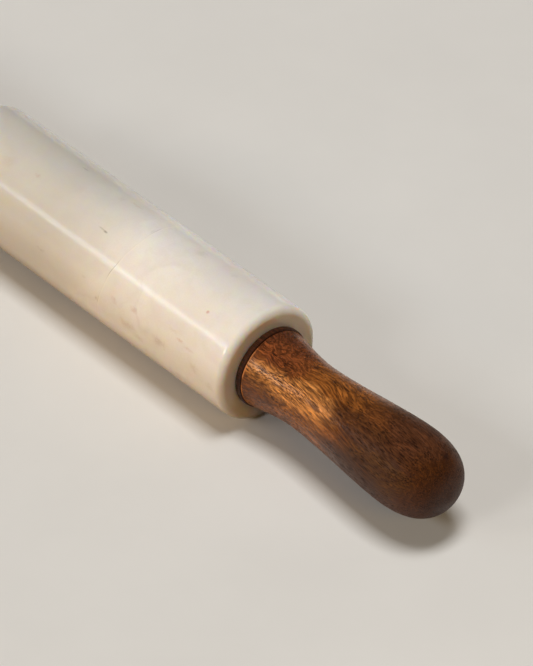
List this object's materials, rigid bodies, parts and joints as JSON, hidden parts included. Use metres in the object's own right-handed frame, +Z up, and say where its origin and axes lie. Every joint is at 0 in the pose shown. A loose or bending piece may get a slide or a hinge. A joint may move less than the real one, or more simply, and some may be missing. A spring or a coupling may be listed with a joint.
{
  "type": "rolling pin",
  "caption": "Kitchen rolling pin: a polished stone barrel turns on a steel rod between two shaped wooden handles.",
  "frame": {"origin": "on the table, under the middle of the barrel: the lowest line of the barrel is at z = 0 and the pin's axis at z = 30 mm", "axes": "+X along the pin's axis towards the right handle, the one in the picture; +Z up; the pin is the same seen from either end"},
  "size_m": [0.4612, 0.06, 0.06],
  "materials": {
    "marble": "polished warm white marble with faint clouding and hairline veins",
    "handle_wood": "oiled mid-brown hardwood, satin, open pores along the grain",
    "dark_wood": "dark brown hardwood, satin",
    "rod_steel": "turned steel",
    "washer_steel": "plain steel",
    "plated_nut": "bright zinc plated",
    "brass": "turned brass",
    "nylon": "natural nylon"
  },
  "bodies": {
    "handles": {"axle_rod": "rod_steel", "thrust_washer_right": "washer_steel", "thrust_washer_left": "washer_steel", "collar_right": "dark_wood", "collar_left": "dark_wood", "lock_nut_right": "plated_nut", "lock_nut_left": "plated_nut", "thread_insert_right": "brass", "thread_insert_left": "brass", "handle_right": "handle_wood", "handle_left": "handle_wood"},
    "barrel": {"marble_barrel": "marble", "bush_right": "nylon", "bush_left": "nylon"}
  },
  "joints": [
    {"name": "barrel_spin", "type": "hinge", "parent": "handles", "child": "barrel", "pos_m": [0, 0, 0.03], "axis": [1, 0, 0], "continuous": true}
  ]
}
